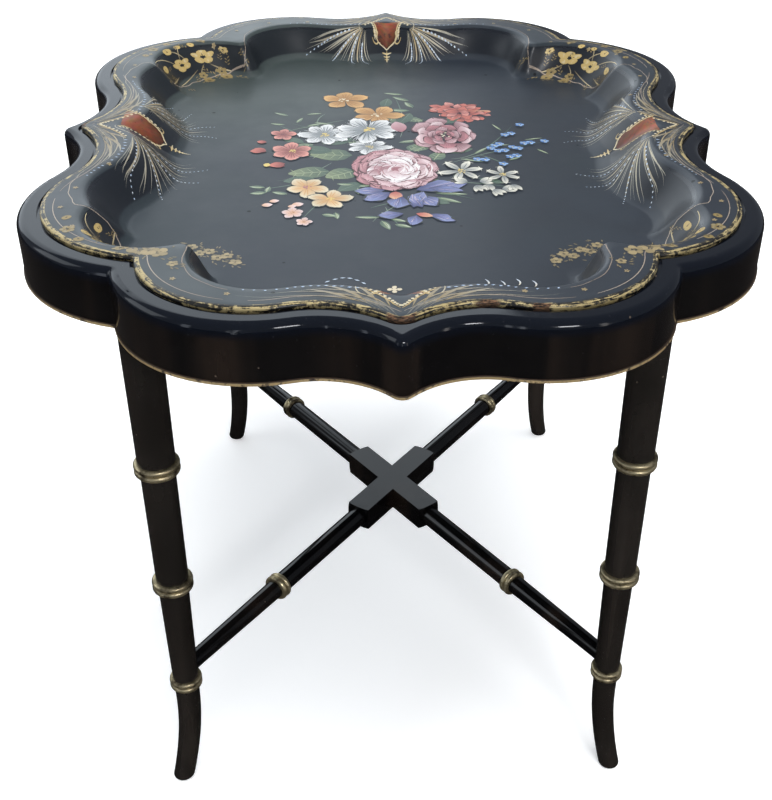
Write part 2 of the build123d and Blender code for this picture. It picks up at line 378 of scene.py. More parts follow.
def chipEdge(piece):  # the bare knocks on the cusps and the front right of the rim
    knocks = [((0, -391), 15, 2.2), ((-299, 4), 13, 1.8), ((64, -372), 12, 1.2), ((104, -374), 9, 0.9),
        ((296, 8), 6, 0.8), ((-196, -291), 6, 0.8)]
    for vert in piece.data.vertices:
        for centre, radius, depth in knocks:
            away = (Vector(vert.co.xy) / mm - Vector(centre)).length
            if away < radius and vert.co.z > 578 * mm:
                share = (1 - away / radius) * depth * (0.6 + 0.8 * noise.noise(vert.co * 260))
                inward = -Vector((vert.co.x, vert.co.y, 0)).normalized()
                vert.co += inward * share * mm * 0.6
                vert.co.z -= max(share, 0) * mm * 0.5 * max(0, min(1, (vert.co.z / mm - 579) / 4))


trayPiece = loftRings("tray_shell", trayRings())
chipEdge(trayPiece)
bpy.context.view_layer.objects.active = trayPiece
trayPiece.select_set(True)
bpy.ops.object.shade_smooth_by_angle(angle=math.radians(48))
edgeRing = outline(tray["edge"])
edgeTree = KDTree(len(edgeRing))
for index, p in enumerate(edgeRing):
    edgeTree.insert((p.x * mm, p.y * mm, 0), index)
edgeTree.balance()
rimGap = trayPiece.data.attributes.new("rimGap", "FLOAT", "POINT")
rimRun = trayPiece.data.attributes.new("rimRun", "FLOAT_VECTOR", "POINT")
for index, vert in enumerate(trayPiece.data.vertices):
    nearest, order, gap = edgeTree.find((vert.co.x, vert.co.y, 0))
    rimGap.data[index].value = gap / mm
    rimRun.data[index].vector = (abs(order - len(edgeRing) / 2) * 4.0, gap / mm, vert.co.z / mm)
trayPiece.data.attributes.remove(trayPiece.data.attributes["spoke"])
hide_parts("tray")
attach(trayPiece, "tray")
print("tray shell made:", len(trayPiece.data.polygons), "faces")

surface = BVHTree.FromPolygons([v.co.copy() for v in trayPiece.data.vertices],
    [tuple(p.vertices) for p in trayPiece.data.polygons])


class Painting:  # thin strokes of paint laid on the tray, gathered into one piece
    def __init__(self, name, seed):
        self.name = name
        self.chance = random.Random(seed)
        self.points = []
        self.faces = []
        self.colours = []
        self.level = 0
        self.axes = None
        self.missed = set()

    def lay(self, x, y, level, tint):  # one point of paint, dropped on the tray
        if self.axes:
            place = self.axes[0] + self.axes[1] * x + self.axes[2] * y
            x, y = place.x, place.y
        hit = surface.ray_cast(Vector((x * mm, y * mm, 1)), Vector((0, 0, -1)))[0]
        if hit is None or edgeTree.find((x * mm, y * mm, 0))[2] < 3.4 * mm:
            self.missed.add(len(self.points))
            hit = Vector((x * mm, y * mm, tray["rimTop"] * mm))
        self.points.append(hit + Vector((0, 0, (0.10 + level * 0.0012) * mm)))
        self.colours.append(tint)

    def strip(self, rows, tints, step=1.0):  # rows of plan points, each with its colour
        start = len(self.points)
        wide = len(rows[0])
        self.level += step
        for row, tint in zip(rows, tints):
            for place, (x, y) in enumerate(row):
                self.lay(x, y, self.level, tint[place] if isinstance(tint, list) else tint)
        for r in range(len(rows) - 1):
            for c in range(wide - 1):
                a = start + r * wide + c
                self.faces.append((a, a + 1, a + wide + 1, a + wide))

    def petal(self, x, y, turn, length, width, deep, bright, stretch=1.0, bend=0.0, blunt=1.0, rows=6, cols=3,
        rim=None, ruffle=0.0):
        phase = self.chance.uniform(0, 6.28)
        if rim:  # a darker shape just showing round the petal
            self.petal(x, y, turn, length * 1.05, width * 1.12, rim, rim, stretch, bend, blunt, rows, cols,
                ruffle=ruffle * 0.6)
        wobble = self.chance.uniform(0.9, 1.1)
        deep = [c * wobble for c in deep]
        bright = [c * wobble for c in bright]
        turnX, turnY = math.cos(turn), math.sin(turn)
        grid, tints = [], []
        for r in range(rows + 1):
            t = r / rows
            half = width / 2 * max(math.sin(math.pi * min(t ** blunt, 0.985)) ** 0.7, 0.05)
            row, tint = [], []
            for c in range(cols + 1):
                s = 2 * c / cols - 1
                u = t * length * (1 + ruffle * t * math.sin(s * 5 + phase))
                v = s * half * (1 + ruffle * math.sin(t * 11 + phase)) + bend * width * math.sin(math.pi * t)
                row.append((x + turnX * u - turnY * v, y + (turnY * u + turnX * v) * stretch))
                light = min(1.0, 0.02 + 0.85 * t ** 1.3 + 0.3 * abs(s) * t)
                streak = 1 + 0.07 * math.sin(c * 2.6 + r * 0.7 + turn * 3)
                tint.append(tuple((d + (b - d) * light) * streak for d, b in zip(deep, bright)))
            grid.append(row)
            tints.append(tint)
        self.strip(grid, tints)

    def stroke(self, path, width, tint, endTint=None, fine=0.5, count=None):
        path = [Vector(p) for p in path]
        dense = []
        steps = count or max(6, int(sum((b - a).length for a, b in zip(path, path[1:])) / 4))
        for step in range(steps + 1):
            t = step / steps
            spots = path
            while len(spots) > 1:
                spots = [a.lerp(b, t) for a, b in zip(spots, spots[1:])]
            dense.append(spots[0])
        self.ribbon(dense, width, tint, endTint, fine)

    def ribbon(self, dense, width, tint, endTint=None, fine=0.5):
        rows, tints = [], []
        last = len(dense) - 1
        for step, here in enumerate(dense):
            t = step / last
            ahead = dense[min(step + 1, last)] - dense[max(step - 1, 0)]
            side = Vector((-ahead.y, ahead.x)).normalized() * width / 2 * max(math.sin(math.pi
                * min(max(t, 0.02), 0.98)) ** fine, 0.06)
            rows.append([tuple(here - side), tuple(here + side)])
            shade = endTint or tint
            tints.append(tuple(a + (b - a) * t for a, b in zip(tint, shade)))
        self.strip(rows, tints, 0.35)

    def dot(self, x, y, radius, tint, stretch=1.0, sides=7, ragged=0.13):
        start = len(self.points)
        self.level += 0.35
        turn = self.chance.uniform(0, 6)
        self.lay(x, y, self.level, tuple(c * 1.08 for c in tint))
        for k in range(sides):
            angle = turn + k * math.tau / sides
            reach = radius * self.chance.uniform(1 - ragged, 1 + ragged)
            self.lay(x + reach * math.cos(angle), y + reach * math.sin(angle) * stretch, self.level, tint)
        for k in range(sides):
            self.faces.append((start, start + 1 + k, start + 1 + (k + 1) % sides))

    def finish(self, material, body="tray", slot="papier_mache"):
        kept = [face for face in self.faces if not self.missed.intersection(face)]
        used = sorted({corner for face in kept for corner in face})
        renumbered = {corner: place for place, corner in enumerate(used)}
        self.colours = [self.colours[corner] for corner in used]
        mesh = bpy.data.meshes.new(self.name)
        mesh.from_pydata([self.points[corner] for corner in used], [],
            [[renumbered[corner] for corner in face] for face in kept])
        paint = mesh.color_attributes.new("paint", "FLOAT_COLOR", "POINT")
        for item, tint in zip(paint.data, self.colours):
            item.color = (max(0, tint[0]), max(0, tint[1]), max(0, tint[2]), 1)
        piece = bpy.data.objects.new(self.name, mesh)
        bpy.context.scene.collection.objects.link(piece)
        deselectAll()
        bpy.context.view_layer.objects.active = piece
        piece.select_set(True)
        bpy.ops.object.mode_set(mode="EDIT")
        bpy.ops.mesh.select_all(action="SELECT")
        bpy.ops.mesh.normals_make_consistent(inside=False)
        bpy.ops.object.mode_set(mode="OBJECT")
        for p in mesh.polygons:
            if p.normal.z < 0:
                p.flip()
        bpy.ops.object.shade_smooth()
        mesh.materials.append(material)
        piece.visible_shadow = False
        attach(piece, body)
        print(self.name, "painted:", len(mesh.polygons), "faces")
        return piece


pigments = {
    "white": (0.92, 0.94, 0.95), "greyWhite": (0.15, 0.18, 0.20), "cream": (0.74, 0.68, 0.50),
    "peach": (0.72, 0.42, 0.26), "apricot": (0.62, 0.33, 0.10),
    "orange": (0.72, 0.43, 0.16), "ochre": (0.36, 0.17, 0.04), "coral": (0.64, 0.19, 0.14),
    "red": (0.46, 0.09, 0.08), "deepRed": (0.20, 0.035, 0.035), "shade": (0.03, 0.035, 0.035),
    "pink": (0.60, 0.40, 0.43), "rose": (0.36, 0.14, 0.17), "wine": (0.16, 0.045, 0.06),
    "blush": (0.78, 0.64, 0.66), "rosy": (0.52, 0.22, 0.25), "plum": (0.07, 0.03, 0.045),
    "yellow": (0.72, 0.55, 0.16),
    "leaf": (0.20, 0.27, 0.17), "midLeaf": (0.09, 0.14, 0.10), "deepLeaf": (0.05, 0.10, 0.075),
    "paleLeaf": (0.44, 0.50, 0.30), "mist": (0.52, 0.60, 0.52), "ivory": (0.90, 0.88, 0.76),
    "salmon": (0.80, 0.36, 0.30), "oliveLeaf": (0.25, 0.31, 0.17), "stem": (0.20, 0.27, 0.21),
    "violet": (0.12, 0.14, 0.36),
    "lilac": (0.25, 0.29, 0.54), "deepViolet": (0.045, 0.05, 0.16), "blue": (0.08, 0.20, 0.48),
    "paleBlue": (0.26, 0.43, 0.74),
}
tone = {name: tuple(c * 0.60 for c in tint) for name, tint in pigments.items()}


def leaf(art, x, y, turn, length, width, deep="deepLeaf", bright="leaf", rib="paleLeaf", veins=3):
    art.petal(x, y, turn, length, width, tone[deep], tone[bright], blunt=0.75)
    ahead = Vector((math.cos(turn), math.sin(turn)))
    side = Vector((-ahead.y, ahead.x))
    root = Vector((x, y))
    art.stroke([root, root + ahead * length * 0.5 + side * width * 0.04, root + ahead * length * 0.97], 0.9,
        tone[rib], tone[rib])
    if not veins:
        art.stroke([root + ahead * length * 0.15 + side * width * 0.1,
            root + ahead * length * 0.55 + side * width * 0.42, root + ahead * length * 0.9], width * 0.17,
            tone["paleLeaf"], tone["mist"], count=6)
    for k in range(veins):
        base = root + ahead * length * (0.2 + 0.6 * k / max(veins - 1, 1))
        for hand in (-1, 1):
            art.stroke([base, base + ahead * length * 0.13 + side * hand * width * 0.38], 0.8, tone[rib],
                tone[bright], count=3)


def flatFlower(art, x, y, reach, count, deep, bright, eye, stretch=1.0, start=0.0, width=0.9, petalBend=0.05,
    lines=3, blunt=1.35, rim="shade"):
    for k in range(count):
        turn = start + k * math.tau / count + art.chance.uniform(-0.1, 0.1)
        long = reach * art.chance.uniform(0.88, 1.05)
        art.petal(x, y, turn, long, reach * width, tone[deep], tone[bright], stretch, petalBend, blunt, 9, 6,
            tone[rim], 0.03)
        for line in range(lines):
            off = turn + (line - (lines - 1) / 2) * 0.22
            begin = Vector((x + math.cos(off) * reach * 0.2, y + math.sin(off) * reach * 0.2 * stretch))
            stop = Vector((x + math.cos(off) * long * 0.8, y + math.sin(off) * long * 0.8 * stretch))
            art.stroke([begin, stop], reach * 0.04, tone[deep], tone[deep], count=4)
        lit = [Vector((x + math.cos(turn + a) * long * 0.93, y + math.sin(turn + a) * long * 0.93 * stretch))
            for a in (-0.28, 0, 0.28)]
        art.stroke(lit, reach * 0.035, tone[bright], [c * 1.12 for c in tone[bright]], count=5)
    for k in range(11):
        turn = art.chance.uniform(0, 6.28)
        far = reach * 0.2 * art.chance.uniform(0.2, 1)
        art.dot(x + far * math.cos(turn), y + far * math.sin(turn) * stretch, reach * 0.045, tone[eye], stretch)


def fullBloom(art, x, y, wide, long, rings, deepTones, brightTones, leanRed=0.0):
    stretch = long / wide
    for place, (share, count, size) in enumerate(rings):
        for k in range(count):
            turn = k * math.tau / count + place * 0.5 + art.chance.uniform(-0.2, 0.2)
            cx = x + math.cos(turn) * wide / 2 * share * 0.62
            cy = y + math.sin(turn) * wide / 2 * share * 0.62 * stretch
            shade = min(place, len(deepTones) - 1)
            red = leanRed * max(0.0, min(1.0, (x + 2 - cx) / (wide * 0.24)))
            deep = [a + (b - a) * red for a, b in zip(tone[deepTones[shade]], tone["wine"])]
            bright = [a + (b - a) * red * 0.75 for a, b in zip(tone[brightTones[shade]], tone["rosy"])]
            lean = art.chance.uniform(-0.5, 0.5)
            length = wide / 2 * size * art.chance.uniform(0.85, 1.12)
            art.petal(cx, cy, turn + lean, length, length * 1.35, deep, bright, stretch, 0.06, 1.2, 9, 9,
                [c * 0.5 for c in deep], 0.09)
            for line in range(4):  # folds in the petal
                off = turn + lean + (line - 1.5) * 0.26
                art.stroke([(cx + math.cos(off) * length * 0.15, cy + math.sin(off) * length * 0.15 * stretch),
                            (cx + math.cos(off + 0.1) * length * 0.5,
                            cy + math.sin(off + 0.1) * length * 0.5 * stretch),
                            (cx + math.cos(off) * length * 0.84, cy + math.sin(off) * length * 0.84 * stretch)],
                            wide * 0.011, tone["rose"] if place < 3 else tone["pink"], bright, count=5)
            lit = [Vector((cx + math.cos(turn + lean + a) * length * (0.93 - 0.06 * abs(a)),
                cy + math.sin(turn + lean + a) * length * (0.93 - 0.06 * abs(a)) * stretch))
                for a in (-0.6, -0.2, 0.2, 0.6)]
            art.stroke(lit, wide * 0.014, bright, [c * 1.2 for c in bright], count=8)


def paintBouquet():
    art = Painting("bouquet_paint", 7)
    stems = [((0, 20), (-50, 60), (-104, 100)), ((10, 60), (20, 110), (6, 190)), ((-60, 0), (-90, 10), (-128, 20)),
        ((-70, -50), (-100, -70), (-132, -78)),
             ((60, 0), (90, 0), (130, 92)), ((60, -10), (100, 20), (158, 46)),
             ((-40, -60), (-70, -100), (-84, -145)), ((20, -100), (-10, -110), (-22, -120)),
             ((-8, -118), (-4, -140), (4, -158)), ((40, 60), (70, 90), (84, 60)), ((90, 10), (104, 0), (112, -14)),
             ((-90, 60), (-104, 80), (-120, 96)),
             ((60, -60), (84, -60), (118, -74)), ((-70, 130), (-90, 100), (-60, 60)),
             ((-60, -10), (-84, -50), (-112, -56)), ((30, -70), (50, -86), (76, -100))]
    for path in stems:
        art.stroke(path, 1.5, tone["stem"], tone["deepLeaf"], count=16)
    for path in (((-50, 110), (-80, 96), (-108, 78)), ((-20, -150), (-12, -128), (16, -100)),
        ((70, 60), (64, 80), (72, 96))):
        art.stroke(path, 1.1, tone["stem"], tone["leaf"], count=12)
    bigLeaves = [(-40, 10, 3.1, 42, 30), (-62, -32, 3.3, 40, 28), (-36, -30, 3.7, 34, 28), (18, 22, 0.9, 24, 17),
        (42, -4, 1.2, 26, 17), (16, 118, -0.5, 22, 15),
                 (-18, 30, 2.6, 30, 16), (40, 40, 4.0, 26, 14), (-80, 40, 3.6, 26, 14), (30, -50, -0.8, 34, 16),
                 (-6, 100, 1.0, 26, 14)]
    for x, y, turn, length, width in bigLeaves:
        leaf(art, x, y, turn, length, width, "deepLeaf", "leaf" if x > -30 else "oliveLeaf", "paleLeaf", 4)
    for x, y, turn, length, width in ((-30, -60, 3.9, 30, 18), (-60, 20, 2.9, 34, 22), (34, -60, -0.9, 30, 18),
        (50, 20, 0.2, 34, 18), (-40, 56, 3.6, 34, 20), (10, 100, 1.2, 34, 18), (-6, 150, 1.4, 30, 14),
                                      (60, 100, 1.0, 26, 16), (-76, -50, 3.4, 30, 18), (84, -50, -0.5, 26, 12),
                                      (-90, 44, 2.6, 26, 14), (28, -100, -0.4, 26, 12)):
        art.petal(x, y, turn, length, width, tone["deepLeaf"], tone["midLeaf"])
        art.stroke([(x, y), (x + math.cos(turn) * length, y + math.sin(turn) * length)], 0.8, tone["midLeaf"],
            tone["stem"], count=6)
    slimLeaves = [(16, 193, 2.9, 22, 6), (22, 172, 2.5, 22, 8), (26, 150, 2.0, 20, 8), (22, 140, 3.0, 24, 9),
        (-110, 124, 2.6, 18, 5), (-90, 128, 0.2, 16, 5),
                  (-112, 96, 2.9, 16, 5), (-100, 102, 1.2, 16, 5), (-88, 92, 0.5, 16, 6), (40, -86, -0.1, 30, 7),
                  (40, -96, -0.5, 26, 7), (44, -80, 1.3, 22, 7),
                  (-14, -141, 3.1, 22, 6), (-12, -130, -0.5, 18, 7), (-12, -148, -1.2, 20, 8),
                  (-4, -144, -0.4, 16, 6), (0, -156, -0.4, 16, 7), (-122, -72, 3.0, 15, 7),
                  (-120, -84, 3.3, 15, 8), (-120, -84, 1.4, 14, 6), (-100, -88, 2.8, 15, 7),
                  (-54, -130, -1.4, 14, 6), (-66, -134, -0.3, 14, 7), (-38, -66, 3.0, 16, 6),
                  (-34, -74, -1.5, 14, 7), (-20, -64, 3.6, 14, 7), (8, 44, 0.3, 22, 8), (84, 12, 0.9, 24, 5),
                  (92, -8, 2.8, 24, 5), (100, 36, 0.1, 22, 4),
                  (118, -4, 0.6, 16, 4), (60, -52, 1.2, 20, 7), (118, 80, 2.0, 20, 3), (150, 26, -0.9, 16, 3),
                  (140, 52, 0.3, 20, 3), (-60, 96, 2.8, 22, 5)]
    for x, y, turn, length, width in slimLeaves:
        leaf(art, x, y, turn, length, width, "deepLeaf", "leaf", "paleLeaf", veins=0)
    flatFlower(art, -50, 174, 28, 5, "ochre", "orange", "cream", 1.05, 0.3, 0.66, 0.1, 3, 1.5)
    flatFlower(art, -14, 127, 29, 5, "ochre", "orange", "cream", 1.0, 1.2, 0.68, -0.08, 3, 1.5)
    for k in range(40):  # the ragged red bloom
        turn = k * 2.4
        far = 30 * math.sqrt((40 - k) / 40) - 9
        art.petal(78 + far * math.cos(turn) * 1.0, 136 + far * math.sin(turn) * 0.85 - far * math.cos(turn) * 0.25,
            turn + art.chance.uniform(-0.6, 0.6), art.chance.uniform(12, 19), art.chance.uniform(8, 13),
            tone["deepRed"], tone["salmon"] if k % 3 == 0 else tone["coral"], 0.9, 0.1, 1.5, 6, 5, tone["plum"],
            0.1)
    for k in range(26):
        turn = k * 2.1
        art.stroke([(78 + 6 * math.cos(turn), 136 + 5 * math.sin(turn)),
            (78 + 20 * math.cos(turn + 0.3), 136 + 16 * math.sin(turn + 0.3)),
            (78 + 34 * math.cos(turn + 0.1), 134 + 27 * math.sin(turn + 0.1))], 1.1, tone["deepRed"],
            tone["peach"] if k % 3 == 0 else tone["coral"], count=6)
    flatFlower(art, -70, 67, 27, 7, "greyWhite", "white", "yellow", 1.15, 0.4, 0.52, 0.1, 3, 1.55)
    flatFlower(art, -22, 32, 24, 7, "greyWhite", "white", "yellow", 0.85, 0.9, 0.52, -0.1, 3, 1.55)
    flatFlower(art, -24, 80, 37, 7, "greyWhite", "white", "yellow", 1.0, 0.1, 0.5, 0.08, 4, 1.55)
    for x, y, reach in ((-70, 67, 27), (-22, 32, 22), (-24, 80, 36)):
        for k in range(42):
            turn = k * 2.4
            near, far = reach * art.chance.uniform(0.3, 0.55), reach * art.chance.uniform(0.7, 0.95)
            art.stroke([(x + near * math.cos(turn), y + near * math.sin(turn)),
                (x + far * math.cos(turn + 0.08), y + far * math.sin(turn + 0.08))], 0.7,
                tone["white"] if k % 3 else tone["greyWhite"], tone["white"], count=4)
    art.petal(12, 74, 1.8, 26, 17, tone["rose"], tone["pink"], 1.2)
    fullBloom(art, 56, 63, 52, 76, [(1.12, 7, 0.66), (0.95, 6, 0.6), (0.66, 5, 0.5), (0.42, 5, 0.4), (0.2, 4, 0.3)],
        ["wine", "rose", "wine", "wine", "wine"], ["pink", "blush", "rosy", "pink", "rosy"])
    for far, width in ((8, 1.6), (13, 1.4), (18, 1.2)):  # dark folds round its cup
        for k in range(3):
            begin = k * 2.1 + far
            art.stroke([(56 + far * math.cos(begin + a), 64 + far * 1.15 * math.sin(begin + a))
                for a in (0, 0.5, 1.0, 1.5)], width, tone["wine"], tone["plum"], count=10)
    for k in range(12):
        turn = k * 2.4
        art.dot(56 + 5 * math.cos(turn) * (k % 3) * 0.6, 64 + 6 * math.sin(turn) * (k % 3) * 0.6, 1.3,
            tone["cream"] if k % 2 else tone["wine"])
    flatFlower(art, -101, 19, 22, 6, "deepRed", "salmon", "yellow", 1.1, 0.5, 0.66, 0.05, 3, 1.55)
    flatFlower(art, -112, 66, 14, 5, "deepRed", "salmon", "wine", 1.2, 0.2, 0.7, 0.05, 2, 1.55)
    for x, y, turn, size in ((-128, 22, 3.3, 15), (-127, 18, 2.6, 14), (-106, -14, 3.4, 16), (-106, -20, 2.9, 14),
        (-128, 44, 3.0, 10)):
        art.petal(x, y, turn, size, size * 0.7, tone["deepRed"], tone["coral"], 1.2)
    art.dot(-124, -17, 3.4, tone["yellow"], 1.3)
    flatFlower(art, -82, -73, 22, 5, "apricot", "cream", "rose", 1.1, 0.9, 0.66, 0.1, 2, 1.4)
    flatFlower(art, -60, -101, 22, 5, "apricot", "cream", "yellow", 1.0, 0.2, 0.64, -0.1, 2, 1.4)
    flatFlower(art, -93, -131, 11, 5, "peach", "blush", "ochre", 1.1, 0.4, 0.72, 0.05, 1, 1.55)
    flatFlower(art, -82, -151, 8, 5, "peach", "blush", "ochre", 1.1, 0.1, 0.72, 0.05, 1, 1.55)
    for x, y, size in ((-117, -115, 10), (-111, -106, 9), (-89, -114, 11), (-94, -118, 8)):
        art.petal(x - size / 2, y, 0.2, size, size * 0.75, tone["peach"], tone["blush"], 1.1)
    for x, y, turn, length, width in ((22, -80, 0.3, 46, 24), (-4, -86, 3.7, 26, 18), (6, -94, 4.5, 24, 20),
        (24, -94, -0.9, 24, 18), (-8, -80, 3.2, 26, 17), (34, -76, -0.2, 30, 14),
                                      (18, -120, 1.3, 32, 17), (26, -120, 1.9, 26, 13), (8, -134, 3.3, 22, 14),
                                      (20, -138, 4.4, 18, 14), (32, -136, -0.5, 24, 13)):
        art.petal(x, y, turn, length, width, tone["deepViolet"], tone["lilac"], 1.1, 0.06, 1.2, 8, 6, tone["shade"],
            0.12)
        for lean in (-0.25, 0, 0.25):
            art.stroke([(x, y), (x + math.cos(turn + lean) * length * 0.85,
                y + math.sin(turn + lean) * length * 0.9)], 0.9, tone["deepViolet"],
                tone["paleBlue"] if lean else tone["blush"], count=6)
    for x, y, turn, length in ((22, -80, 0.3, 44), (-4, -86, 3.7, 25), (6, -94, 4.5, 23), (24, -94, -0.9, 23),
        (-8, -80, 3.2, 25), (18, -120, 1.3, 31), (26, -120, 1.9, 25), (8, -134, 3.3, 21), (20, -138, 4.4, 17),
        (32, -136, -0.5, 23)):
        for k in range(16):
            lean = art.chance.uniform(-0.36, 0.36)
            near, far = length * art.chance.uniform(0.2, 0.6), length * art.chance.uniform(0.65, 0.97)
            art.stroke([(x + near * math.cos(turn + lean), y + near * math.sin(turn + lean)),
                (x + far * math.cos(turn + lean * 0.8), y + far * math.sin(turn + lean * 0.8) * 1.08)], 0.8,
                tone["deepViolet"] if k % 3 == 0 else tone["violet"],
                tone["blush"] if k % 4 == 1 else tone["lilac"], count=4)
    art.petal(2, -84, 4.7, 17, 13, tone["red"], tone["peach"], 1, 0, 1.1, 6, 4, tone["deepViolet"], 0.1)
    art.petal(20, -134, -0.4, 16, 9, tone["red"], tone["peach"])
    for k in range(9):  # ground under the great bloom
        turn = k * math.tau / 9
        art.dot(3 + 16 * math.cos(turn), -29 + 22 * math.sin(turn), 17, tone["rose"], 1.25, 16, 0.03)
    fullBloom(art, 2, -29, 70, 88, [(1.28, 15, 0.42), (1.15, 14, 0.44), (0.95, 12, 0.46), (0.72, 9, 0.5),
        (0.45, 7, 0.52), (0.16, 5, 0.5)], ["wine", "rose", "rose", "rose", "rose", "pink"],
              ["pink", "pink", "blush", "blush", "white", "white"], leanRed=1.0)
    for k in range(7):  # the curled heart
        turn = 0.5 + k * 0.42
        art.petal(-2 + 2.2 * k * math.cos(turn), -31 + 2.0 * k * math.sin(turn), turn + 1.2, 21 - k, 19 - k,
            tone["rose"], tone["white"] if k % 2 else tone["blush"], 1.15, 0.1, 1.3, 9, 9, tone["wine"], 0.08)
    for k in range(46):  # loose folds over the pale middle and the darker left side
        turn = art.chance.uniform(0, 6.28)
        far = art.chance.uniform(2, 34)
        here = Vector((6 + far * math.cos(turn), -29 + far * 1.2 * math.sin(turn)))
        sweep = turn + 1.3 + art.chance.uniform(-0.5, 0.5)
        swing = Vector((math.cos(sweep), math.sin(sweep) * 1.2)) * art.chance.uniform(5, 11)
        dark = here.x < -4 or k % 3 == 0
        art.stroke([here - swing, here + Vector((math.cos(turn), math.sin(turn))) * 5, here + swing],
            1.0 if dark else 1.5, tone["wine"] if here.x < -8 else tone["rose"] if dark else tone["white"],
            tone["rosy"] if dark else tone["blush"], count=9)
    for x, y, reach, turn in ((68, -34, 24, 0.2), (108, -44, 19, 0.5)):
        flatFlower(art, x, y, reach, 6, "greyWhite", "ivory", "yellow", 1.15, turn, 0.34, lines=1)
    for x, y, turn in ((72, -62, 2.8), (94, -68, -2.0), (104, -80, 0.2), (116, -68, -1.5), (84, -62, 0.3),
        (96, -80, -1.0), (80, -70, -1.2)):
        for lean in (-0.5, 0, 0.5):
            art.petal(x, y, turn + lean, 13, 5.5, tone["greyWhite"], tone["ivory"], 1.2, rim=tone["shade"])
    for x, y in ((139, 94), (127, 68), (120, 64), (107, 33), (112, 38), (125, 29), (131, 26), (138, 40), (145, 42),
        (109, 19), (116, 20), (120, 3), (127, 6), (111, -16), (86, -4), (94, -5), (160, 46), (102, 26)):
        for k in range(5):
            turn = k * math.tau / 5
            art.dot(x + 3.0 * math.cos(turn), y + 3.4 * math.sin(turn), 2.0,
                tone["blue"] if k % 2 else tone["paleBlue"])
        art.dot(x, y, 1.1, tone["cream"])
    return art


mouthRing = outline(tray["mouth"], 1.0)
footRing = outline(tray["floor"])


def ringSpot(first, second, spoke, share):  # share 0 lies on the first ring, 1 on the second
    low = math.floor(spoke)
    part = spoke - low
    here = first[low % len(first)].lerp(first[(low + 1) % len(first)], part)
    there = second[low % len(second)].lerp(second[(low + 1) % len(second)], part)
    return here + (there - here) * share


def bezier(path, t):
    spots = [Vector(p) for p in path]
    while len(spots) > 1:
        spots = [a.lerp(b, t) for a, b in zip(spots, spots[1:])]
    return spots[0]


cusp = {
    "gold": (0.40, 0.29, 0.12), "pale": (0.50, 0.44, 0.30), "hair": (0.27, 0.26, 0.22), "ice": (0.50, 0.56, 0.62),
    "blue": (0.22, 0.34, 0.54),
    "plumes": [((7.5, 0.2), (9, 0.75), (7.5, 1.2)), ((8, 0.15), (11, 0.7), (10.5, 1.3)),
    ((8, 0.12), (12, 0.6), (13.5, 1.24)), ((8.2, 0.1), (13, 0.5), (16.5, 1.1)),
               ((8.2, 0.08), (13, 0.36), (19, 0.92)), ((8.4, 0.05), (13, 0.24), (21, 0.66)),
               ((8.6, 0.03), (15, 0.05), (20, 0.42))],
    "runs": [((8.5, 0.5), (10, 1.0), (8.2, 1.5)), ((9.5, 0.35), (13, 0.95), (12.0, 1.55)),
    ((10, 0.25), (15, 0.7), (17.5, 1.25)), ((11, 0.12), (17, 0.35), (22, 0.9))],
}


